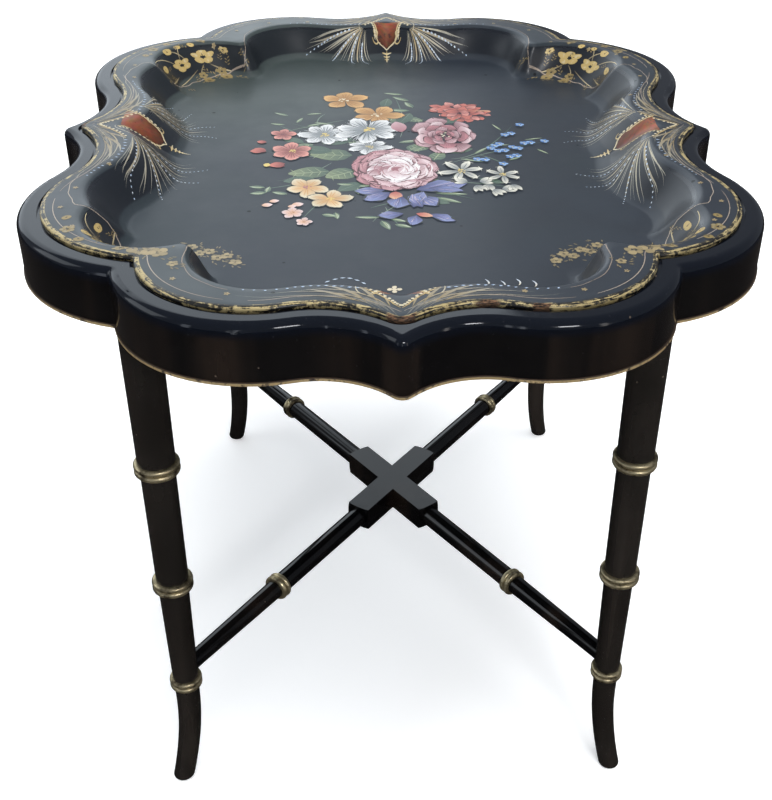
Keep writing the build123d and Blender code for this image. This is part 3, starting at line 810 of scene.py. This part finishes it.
def goldCusp(art, middle, wide, leans):  # one cusp's red panel, scroll, plumes and rim leaves
    art.level = 0
    gold, pale, hair, ice, blue = (cusp[key] for key in ("gold", "pale", "hair", "ice", "blue"))
    mouthTip, footTip = mouthRing[middle], footRing[middle]
    outward = mouthTip.normalized()
    across = Vector((outward.y, -outward.x))
    wallSpan = (mouthTip - footTip).length

    def panelSpot(u, share):  # share 0 at the mouth, 1 at the foot of the wall
        lean = leans[0] + (leans[1] - leans[0]) * share
        return mouthTip.lerp(footTip, share) + across * (u * wide + lean)

    def wall(hand, spoke, share):
        return ringSpot(mouthRing, footRing, middle + hand * spoke, share) + across * (leans[0] * 0.7)

    foot = 0.70
    rows, tints = [], []
    for r in range(15):
        t = r / 14
        half = (16.5 * (1 - t) ** 0.75 + 8.5 * t) * (1 if t < 0.85
            else math.sqrt(max(0.04, 1 - ((t - 0.85) / 0.17) ** 2)))
        rows.append([tuple(panelSpot(half * (c / 5 - 1), 0.06 + (foot - 0.08) * t)) for c in range(11)])
        shade = 1 - 0.72 * t ** 1.4
        tints.append([tuple(k * shade * (0.7 + 0.6 * art.chance.random()) * (1.0 - 0.3 * abs(c / 5 - 1))
            for k in (0.23, 0.070, 0.032)) for c in range(11)])
    art.strip(rows, tints)
    for hand in (-1, 1):
        side = [bezier([(23, 0.03), (16, 0.05), (13, 0.32), (11.5, 0.40), (12, foot - 0.12)], k / 20)
            for k in range(20)]
        side += [bezier([(12, foot - 0.12), (9, foot - 0.02), (5, foot - 0.06), (0, foot + 0.03)], k / 12)
            for k in range(13)]
        art.ribbon([panelSpot(hand * p.x, p.y) for p in side], 1.7, gold, pale, 0.2)
        for k in range(2, 19, 2):
            p = side[k]
            art.dot(*panelSpot(hand * (p.x + 2.4), p.y + 0.02), 1.25, pale)
        for turnSize, share in ((4.2, foot - 0.10), (3.0, foot - 0.26)):  # curls on the scroll
            curl = [panelSpot(hand * (13 + turnSize * (1 - k / 18) * math.cos(k * 0.5)),
                share + turnSize * (1 - k / 18) * math.sin(k * 0.5) / wallSpan) for k in range(15)]
            art.ribbon(curl, 1.2, gold, pale, 0.3)
        loop = [bezier([(20, 0.0), (30, -0.08), (38, 0.3), (31, 0.62)], k / 16) for k in range(17)]
        art.ribbon([panelSpot(hand * p.x, p.y) for p in loop], 1.0, hair, pale, 0.4)
        for place, path in enumerate(cusp["plumes"]):
            for strand in range(3):
                shift = (strand - 1) * 0.75
                moved = [(s + shift * (0.2 + 0.6 * i), f + art.chance.uniform(-0.05, 0.05) * i) for i,
                    (s, f) in enumerate(path)]
                dense = [wall(hand, *bezier(moved, k / 20)) for k in range(21)]
                width, tint = ((1.5, gold) if place % 2 else (1.1, pale)) if strand == 1 else (0.6, hair)
                art.ribbon(dense, width, tint, hair, 0.9)
        for place, path in enumerate(cusp["runs"]):
            for step in range(13):
                t = step / 12
                here, ahead = wall(hand, *bezier(path, t)), wall(hand, *bezier(path, t + 0.02))
                turn = math.atan2(ahead.y - here.y, ahead.x - here.x)
                art.petal(here.x, here.y, turn, 3.4 - 1.5 * t, 1.5 - 0.5 * t, blue if (step + place) % 2 else ice,
                    ice, rows=2, cols=1)
        for k in range(18):  # hair lines along the rim beside the cusp
            begin = (1 + 0.3 * k, 0.85 - 0.05 * (k % 5))
            stop = (9 + 0.65 * k, 0.15 + 0.13 * (k % 6))
            path = [begin, (begin[0] + 4, 0.5), stop]
            dense = [ringSpot(mouthRing, edgeRing, middle + hand * p.x, p.y)
                for p in (bezier(path, j / 14) for j in range(15))]
            art.ribbon(dense, 0.55, [c * 0.7 for c in hair], (0.09, 0.09, 0.085), 0.7)
        for k, path in enumerate((((3, 0.62), (8, 0.2), (17, 0.35)), ((4, 0.7), (10, 0.5), (21, 0.32)),
            ((2, 0.5), (5, 0.1), (10, 0.12)), ((6, 0.74), (13, 0.72), (24, 0.45)))):
            dense = [ringSpot(mouthRing, edgeRing, middle + hand * p.x, p.y)
                for p in (bezier(path, j / 18) for j in range(19))]
            art.ribbon(dense, 1.3 - 0.2 * k, [c * 0.75 for c in gold], hair, 0.9)
        for begin, bend, stop, width in (((7, 0.72), (9, 0.3), (13.5, 0.14), 3.0),
            ((8, 0.76), (12, 0.5), (16, 0.30), 2.6), ((5, 0.60), (7, 0.2), (8.5, 0.06), 2.4),
            ((3, 0.6), (4, 0.3), (4.6, 0.1), 1.8)):
            dense = [ringSpot(mouthRing, edgeRing, middle + hand * p.x, p.y)
                for p in (bezier((begin, bend, stop), j / 14) for j in range(15))]
            art.ribbon(dense, width, [c * 0.55 for c in gold], hair, 1.0)
        for step in range(14):  # run of pale dots along the mouth
            x, y = ringSpot(mouthRing, edgeRing, middle + hand * (9 + 1.1 * step), 0.14 + 0.02 * (step % 2))
            art.petal(x, y, 0.1, 4 - 0.15 * step, 1.5, blue, ice, rows=2, cols=1)
        for k in range(10):  # beaded scroll at the point of the rim
            t = k / 9
            x, y = ringSpot(mouthRing, edgeRing, middle + hand * (0.3 + 7.0 * t), 0.45 - 0.42 * t)
            art.dot(x, y, 1.35, pale)
        point = [ringSpot(mouthRing, edgeRing, middle + hand * (0.2 + 8 * k / 12), 0.55 - 0.5 * k / 12)
            for k in range(13)]
        art.ribbon(point, 1.1, gold, gold, 0.3)
    tip = panelSpot(0, foot + 0.06)
    for step, half in ((3, 5.5), (6.5, 4), (10, 2.8), (13, 1.6)):
        here = tip - outward * step
        art.ribbon([here + across * half * (k / 3 - 1) for k in range(7)], 1.7, gold, pale, 0.5)
    art.ribbon([tip - outward * k * 3 for k in range(8)], 1.5, gold, pale, 0.5)


corner = {
    "gold": (0.42, 0.31, 0.12), "pale": (0.50, 0.42, 0.25), "dull": (0.13, 0.10, 0.055),
    "dark": (0.010, 0.011, 0.014),
    "flowers": [(54.0, 0.52, 15), (48.6, 0.44, 15), (44.0, 0.26, 6), (50.6, 0.88, 6), (46.2, 0.86, 6.5),
    (50.5, 1.16, 7), (46.0, 1.13, 7), (56.5, -0.22, 7), (47.0, -0.2, 6)],
    "buds": [(60.0, 0.42, 8.5), (55.2, 0.13, 7.0), (52.3, 0.08, 4.0), (49.6, 0.06, 4.4), (53.0, -0.24, 4.5),
    (60.0, -0.2, 4.5)],
    "stems": [((54, 0.5), (53, 0.2), (52.3, 0.08)), ((52, 0.55), (53, 0.2), (55.2, 0.13)),
    ((54.5, 0.6), (57, 0.2), (62, 0.14)), ((49, 0.6), (51, 0.8), (50.6, 0.88)), ((48, 0.6), (46, 0.8), (44, 0.9)),
              ((57, 0.7), (60, 0.75), (62, 0.66)), ((51, 0.7), (55, 0.95), (59, 0.86))],
    "sprays": [(57.2, 0.45), (58.5, 0.72), (61, 0.7), (62.2, 0.6), (45.5, 0.55), (44.4, 0.7), (43.6, 0.42),
    (52.0, 0.86), (48.6, 0.88), (52.8, 1.14), (48.2, 1.2), (43.8, 1.1), (50.8, 0.16), (58.4, 1.05), (39.5, 0.42),
    (38.4, 0.5)],
}


def goldCorner(art, start, hand):
    art.level = 0
    gold, pale, dull, dark = (corner[key] for key in ("gold", "pale", "dull", "dark"))

    def wall(spoke, share):
        return ringSpot(mouthRing, footRing, start + hand * spoke, share)

    def setAxes(spoke, share):  # local axes along the wall and down it
        here = wall(spoke, share)
        along = (wall(spoke + 1, share) - wall(spoke - 1, share)).normalized()
        down = (wall(spoke, share + 0.1) - wall(spoke, share - 0.1)).normalized()
        art.axes = (here, along, down * (1.0 if share < 0 or share > 1.05 else 0.75 - 0.4
            * math.sin(math.pi * min(share, 1))))

    for path in corner["stems"]:
        art.ribbon([wall(*bezier(path, k / 16)) for k in range(17)], 0.9, dull, pale, 0.4)
    for spoke, share, reach in corner["flowers"]:
        setAxes(spoke, share)
        worn = 1.0 if 0 < share < 0.7 else 0.5
        for k in range(5):
            turn = k * math.tau / 5 + spoke
            fat = reach * art.chance.uniform(0.36, 0.42)
            x, y = math.cos(turn) * reach * 0.56, math.sin(turn) * reach * 0.56
            art.dot(x, y, fat, [c * worn for c in gold], 1, 14, 0.03)
            art.dot(x * 1.12, y * 1.12, fat * 0.6, [c * worn * 0.9 for c in pale], 1, 10, 0.06)
            art.stroke([(x * 0.2, y * 0.2), (x * 0.9, y * 0.9)], reach * 0.07, dark, dark, count=4)
        art.dot(0, 0, reach * 0.13, dark)
    for spoke, share, reach in corner["buds"]:
        setAxes(spoke, share)
        worn = 1.0 if share > 0 else 0.5
        art.dot(0, 0, reach * 0.9, [c * worn for c in gold], 1, 14, 0.04)
        art.dot(reach * 0.08, 0, reach * 0.22, dark)
    for spoke, share in corner["sprays"]:
        setAxes(spoke, share)
        turn = art.chance.uniform(0, 6.28)
        for k in range(5):
            art.petal(k * 2.4 * math.cos(turn), k * 2.4 * math.sin(turn), turn + (0.7 if k % 2 else -0.7), 4.2, 1.5,
                dull, [c * 0.55 for c in gold], rows=3, cols=1)
    art.axes = None


def goldLines(art):
    line, pale = (0.22, 0.175, 0.14), (0.34, 0.285, 0.23)
    course = [(24, -0.3), (30, -0.26), (36, -0.12), (38.5, 0.3), (40.5, 0.72), (45, 0.95), (52, 1.02), (58, 0.95),
        (62, 0.7), (64, 0.25), (67, -0.14), (75, -0.3), (82, -0.26)]
    for start, hand in ((0, 1), (0, -1), (208, 1), (208, -1)):  # wavy line round each corner scoop
        dense = []
        for (s0, f0), (s1, f1) in zip(course, course[1:]):
            for k in range(8):
                share = ease(k / 8) * 0.35 + k / 8 * 0.65
                spoke = s0 + (s1 - s0) * share
                dense.append(ringSpot(mouthRing, footRing, start + hand * spoke,
                    f0 + (f1 - f0) * share + 0.02 * math.sin(spoke * 1.7)))
        art.ribbon(dense, 0.9, line, pale, 0.2)
    inner = outline(tray["edge"], -11.0)
    for k in range(0, len(inner) - 26, 26):  # fine worn line along the rim
        dense = [inner[(k + j) % len(inner)] for j in range(24)]
        art.ribbon(dense, 0.8, line, pale, 0.25)
    band = outline(tray["edge"], -20.0)
    for k in range(0, len(band), 9):  # faint small flowers on the rim
        centre = band[k]
        if min(abs(centre.x), abs(centre.y)) < 80:
            continue
        shift = art.chance.uniform(-3, 3)
        for petalTurn in range(5):
            turn = petalTurn * math.tau / 5
            art.petal(centre.x + shift, centre.y, turn, 2.6, 1.8, (0.16, 0.12, 0.06), (0.34, 0.27, 0.15), rows=2,
                cols=1)


frontTouches = {
    "gold": (0.27, 0.215, 0.115), "dull": (0.12, 0.10, 0.06), "pale": (0.50, 0.44, 0.32), "ice": (0.42, 0.50, 0.60),
    "rimRun": ((245, -240), (175, -300)), "rimCount": 6, "rimSize": (5, 7),
    # mm, ends of the run, flowers, least size and swell
    "floorRun": ((176, -204), (136, -226)), "floorCount": 6, "floorSize": 6, "sway": 4,
    "finialY": -281, "dashArc": (-60, -268, 6, 8), "hookRun": (73, -270, 13, 3),  # start, pitch and rise
}


def frontFlower(art, x, y, reach):  # five round petals, a dark eye and loose leaves
    gold, dull = frontTouches["gold"], frontTouches["dull"]
    for k in range(5):
        turn = k * math.tau / 5 + x
        art.dot(x + reach * 0.56 * math.cos(turn), y + reach * 0.56 * math.sin(turn),
            reach * art.chance.uniform(0.34, 0.44), gold if k % 2 else [c * 0.8 for c in gold], 1, 9, 0.12)
    art.dot(x, y, reach * 0.14, dull)
    for k in range(7):
        turn, away = art.chance.uniform(0, 6.28), reach * art.chance.uniform(1.0, 1.7)
        art.petal(x + away * math.cos(turn), y + away * math.sin(turn), turn + 0.7, 4.5, 1.5, dull,
            [c * 0.7 for c in gold], rows=3, cols=1)


def paintFront(art):  # the gold by the front corners and the small touches behind the front cusp
    pale, ice = frontTouches["pale"], frontTouches["ice"]
    art.level = 0
    for hand in (-1, 1):
        for key, count in (("rimRun", frontTouches["rimCount"]), ("floorRun", frontTouches["floorCount"])):
            (beginX, beginY), (endX, endY) = frontTouches[key]
            for k in range(count):
                along = k / (count - 1)
                sway = frontTouches["sway"] * (-1) ** k
                reach = frontTouches["rimSize"][0] + frontTouches["rimSize"][1] * math.sin(math.pi
                    * along) if key == "rimRun" else frontTouches["floorSize"]
                frontFlower(art, hand * (beginX + (endX - beginX) * along), beginY + (endY - beginY) * along + sway,
                    reach)
    for k in range(5):  # small finial of drops
        art.dot(-3 + (k > 0) * 4 * math.cos(k * math.pi / 2),
            frontTouches["finialY"] + (k > 0) * 4 * math.sin(k * math.pi / 2), 2.3, pale)
    startX, startY, pitch, rise = frontTouches["dashArc"]
    for k in range(6):
        art.petal(startX + pitch * k, startY + rise * math.sin(math.pi * k / 5), 0.6 - 0.26 * k, 5, 1.8, ice, ice,
            rows=2, cols=1)
    startX, startY, pitch, dip = frontTouches["hookRun"]
    for k in range(4):
        x, y = startX + pitch * k, startY - dip * (k % 2)
        art.stroke([(x, y - 5), (x + 4, y), (x - 1, y + 6)], 1.5, pale, ice, count=6)


def makeLacquer(name, darkTone, paleTone, reflectionStreakTone, roughLow, roughHigh):
    look = Finish(name)
    mottle = look.cloud(9, 5, 0.6)
    fine = look.cloud(220, 3, 0.5)
    drag = look.cloud(60, 4, 0.6, look.stretched((1, 1, 0.12)))
    # vertical bands, used below as a painted reflection
    streak = look.window(look.cloud(16, 4, 0.55, look.stretched((1, 1, 0.04))), 0.48, 0.72)
    nicks = look.specks(95, 0.11, 0.05)
    dust = look.specks(420, 0.16, 0.10)
    base = look.blend(look.window(mottle, 0.35, 0.7), rgb(*darkTone), rgb(*paleTone))
    # painted reflection: the streak mask lays a lighter brown tone into the base colour as vertical streaks,
    # standing in for the room reflected in the lacquer
    base = look.blend(streak * 0.8, base, rgb(*reflectionStreakTone))
    # painted reflection: above the apron's top edge the base turns navy, standing in for the blue-grey reflection
    # on the nose
    height = look.node("ShaderNodeSeparateXYZ", inputs={"Vector": look.place()}, output="Z")
    base = look.blend(look.window(height, 0.566, 0.574), base, rgb(0.0028, 0.0040, 0.0072))
    base = look.blend(nicks, base, rgb(0.10, 0.075, 0.055))
    base = look.blend(dust * 0.3, base, rgb(0.08, 0.08, 0.09))
    look.set(colour=base, rough=look.window(drag, 0.3, 0.75, roughLow, roughHigh) + nicks * 0.3 + dust * 0.15,
        specular=0.34)
    look.bump(mottle * 0.8 + drag * 0.25 + fine * 0.04, 0.10, 0.0012)
    return look.material


def makeGilt():
    look = Finish("wornGilt")
    flake = look.cloud(160, 5, 0.65)
    broad = look.cloud(22, 3, 0.5)
    lost = look.window(flake + broad * 0.5, 0.74, 0.88)
    gold = look.blend(broad, rgb(0.52, 0.37, 0.17), rgb(0.72, 0.55, 0.30))
    height = look.node("ShaderNodeSeparateXYZ", inputs={"Vector": look.place()}, output="Z")
    lost = look.node("ShaderNodeMath", {"operation": "MAXIMUM"},
        {0: lost, 1: look.window(height + flake * 0.0009, 0.5322, 0.5330)})
    look.set(colour=look.blend(lost, gold, rgb(0.035, 0.022, 0.014)), metal=0.65 - lost * 0.6,
        rough=0.34 + lost * 0.3)
    look.bump(flake, 0.35, 0.0004)
    return look.material


def makeRings():
    look = Finish("agedBrass")
    tarnish = look.cloud(75, 5, 0.6)
    broad = look.cloud(14, 3, 0.5)
    fine = look.cloud(600, 3, 0.6)
    dark = look.window(tarnish + broad * 0.4, 0.62, 0.86)
    gold = look.blend(broad, rgb(0.50, 0.42, 0.26), rgb(0.68, 0.58, 0.36))
    look.set(colour=look.blend(dark, gold, rgb(0.07, 0.052, 0.032)), metal=0.9,
        rough=look.window(fine, 0.3, 0.7, 0.26, 0.44) + dark * 0.15)
    look.bump(fine * 0.4 + tarnish, 0.25, 0.0003)
    return look.material


def makeSteel():
    look = Finish("screwSteel")
    grain = look.cloud(900, 3, 0.5, look.stretched((1, 6, 1)))
    rust = look.window(look.cloud(120, 4), 0.5, 0.7)
    look.set(colour=look.blend(rust, rgb(0.42, 0.42, 0.43), rgb(0.14, 0.08, 0.05)), metal=0.9,
        rough=0.35 + grain * 0.2)
    look.bump(grain, 0.2, 0.0002)
    return look.material


def makeTray():
    look = Finish("trayLacquer")
    gap = look.attribute("rimGap")
    soft = look.cloud(3.2, 3, 0.5)
    mottle = look.cloud(14, 5, 0.6)
    grain = look.cloud(420, 3, 0.6)
    flake = look.cloud(230, 5, 0.7)
    broad = look.cloud(17, 3, 0.5)
    scuffs = look.specks(52, 0.12, 0.14)
    pits = look.specks(260, 0.14, 0.14)
    height = look.node("ShaderNodeSeparateXYZ", inputs={"Vector": look.place()}, output="Z")
    base = look.blend(look.window(mottle, 0.3, 0.7), rgb(0.012, 0.0155, 0.022), rgb(0.017, 0.022, 0.030))
    base = look.blend(look.window(soft, 0.45, 0.75) * 0.5, base, rgb(0.016, 0.026, 0.025))
    # painted sheen: round a spot at the back left the base is lighter and greener, standing in for the back
    # window's reflection on the tray
    back = look.node("ShaderNodeVectorMath", {"operation": "DISTANCE"}, {0: look.place(), 1: (-0.16, 0.24, 0.553)},
        output="Value")
    base = look.blend(look.window(back + (mottle - 0.5) * 0.12, 0.26, 0.06) * 0.8, base, rgb(0.036, 0.047, 0.045))
    base = look.blend(scuffs * 0.8, base, rgb(0.002, 0.002, 0.002))
    base = look.blend(pits * 0.5, base, rgb(0.055, 0.05, 0.045))
    # painted shade: the scoop walls, between floor and rim, are darkened towards navy
    wallShadeMask = look.window(height, 0.5535, 0.5560) * look.window(height, 0.5822, 0.5812)
    base = look.blend(wallShadeMask * 0.85, base, rgb(0.0040, 0.0052, 0.0085))
    # gilding on the rounded edge, with the black showing where it has gone
    gilt = look.window(gap + (broad - 0.5) * 2.4, 4.9, 4.2)
    streak = look.node("ShaderNodeTexNoise", inputs={"Vector": look.node("ShaderNodeVectorMath",
        {"operation": "MULTIPLY"}, {0: look.attribute("rimRun", "Vector"), 1: (0.06, 0.55, 0.5)}), "Scale": 1.0,
        "Detail": 5.0, "Roughness": 0.65})
    lost = look.window(flake * 0.55 + streak * 0.75 + broad * 0.2, 0.68, 0.77)
    gold = look.blend(broad, rgb(0.33, 0.25, 0.10), rgb(0.56, 0.47, 0.26))
    giltLeft = gilt * (1 - lost)
    base = look.blend(gilt * 0.9, base, rgb(0.0055, 0.0045, 0.0035))
    base = look.blend(giltLeft, base, gold)
    # bare brown pulp where the edge is knocked
    bare = None
    for centre, radius in (((0, -0.391, 0.582), 0.013), ((-0.299, 0.004, 0.582), 0.012),
        ((0.064, -0.372, 0.582), 0.010), ((0.104, -0.374, 0.582), 0.008)):
        away = look.node("ShaderNodeVectorMath", {"operation": "DISTANCE"}, {0: look.place(), 1: centre},
            output="Value")
        patch = look.window(away + (flake - 0.5) * 0.016, radius, radius * 0.72)
        bare = patch if bare is None else bare + patch
    bare = bare * look.window(gap, 4.6, 3.4)
    pulp = look.blend(look.window(look.cloud(520, 6, 0.8, look.stretched((0.35, 1, 3))), 0.44, 0.60),
        rgb(0.006, 0.004, 0.003), rgb(0.15, 0.080, 0.042))
    base = look.blend(bare, base, pulp)
    under = look.window(height, 0.5795, 0.5785)
    look.set(colour=base, metal=giltLeft * 0.45 * (1 - bare),
        rough=look.window(mottle, 0.3, 0.7, 0.36, 0.48) - wallShadeMask * 0.16 + scuffs * 0.2 + giltLeft * 0.08 + bare
        * 0.4 + under * 0.2,
             coat=0.25, coatRough=0.22, specular=0.5)
    look.bump(mottle * 0.5 + grain * 0.05 + flake * gilt * 0.5 + bare * flake * 2.0, 0.22, 0.0009)
    return look.material


def makePaint(name, metal, rough, wear):
    look = Finish(name)
    tint = look.attribute("paint", "Color")
    bristle = look.cloud(700, 3, 0.6, look.stretched((1, 0.35, 1)))
    worn = look.window(look.cloud(90, 5, 0.7), wear, wear + 0.12)
    tint = look.blend(look.window(bristle, 0.25, 0.8) * 0.35, tint, rgb(0.9, 0.9, 0.9), "MULTIPLY")
    look.set(colour=look.blend(worn * 0.75, tint, rgb(0.012, 0.014, 0.017)), metal=metal,
        rough=rough + bristle * 0.15, coat=0.15, coatRough=0.25)
    look.bump(bristle, 0.35, 0.0003)
    return look.material


# the third tone given to each lacquer is its painted reflection streak
lacquer = makeLacquer("blackLacquer", (0.0016, 0.0016, 0.0020), (0.0042, 0.0038, 0.0038), (0.020, 0.0135, 0.010),
    0.07, 0.15)
# the legs get a browner, lighter copy of the lacquer: the brown is the legs' own tone, the lighter base and
# stronger streaks are a painted sheen
legLacquerSheen = makeLacquer("legLacquerSheen", (0.0085, 0.0070, 0.0058), (0.0150, 0.0125, 0.0105), (0.034, 0.027, 0.022),
    0.16, 0.28)
gilt, rings, steel = makeGilt(), makeRings(), makeSteel()
trayPiece.data.materials.append(makeTray())
oilPaint = makePaint("oilPaint", 0.0, 0.42, 0.66)
goldPaint = makePaint("goldPaint", 0.25, 0.38, 0.58)
for name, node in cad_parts.items():
    if name == "tray":
        continue
    finish = lacquer
    if name == "gilt_bead":
        finish = gilt
    elif name.startswith(("leg", "foot")):
        finish = legLacquerSheen
    elif name.startswith("collar"):
        finish = rings
    elif name == "lap_screw":
        finish = steel
    for slot in node.material_slots:
        slot.material = finish
print("finishes made")

paintBouquet().finish(oilPaint)
trim = Painting("gold_trim_paint", 11)
goldLines(trim)
cuspAt = {"back": 0, "right": 104, "front": 208, "left": 312}  # where each cusp lies on a ring
for side, wide, leans in (("back", 1.0, (0, 0)), ("right", 1.05, (-3, -3)), ("front", 1.0, (0, 0)),
    ("left", 1.05, (20, 9))):
    goldCusp(trim, cuspAt[side], wide, leans)
for end in ("back", "front"):
    for hand in (1, -1):
        goldCorner(trim, cuspAt[end], hand)
paintFront(trim)
trim.finish(goldPaint)
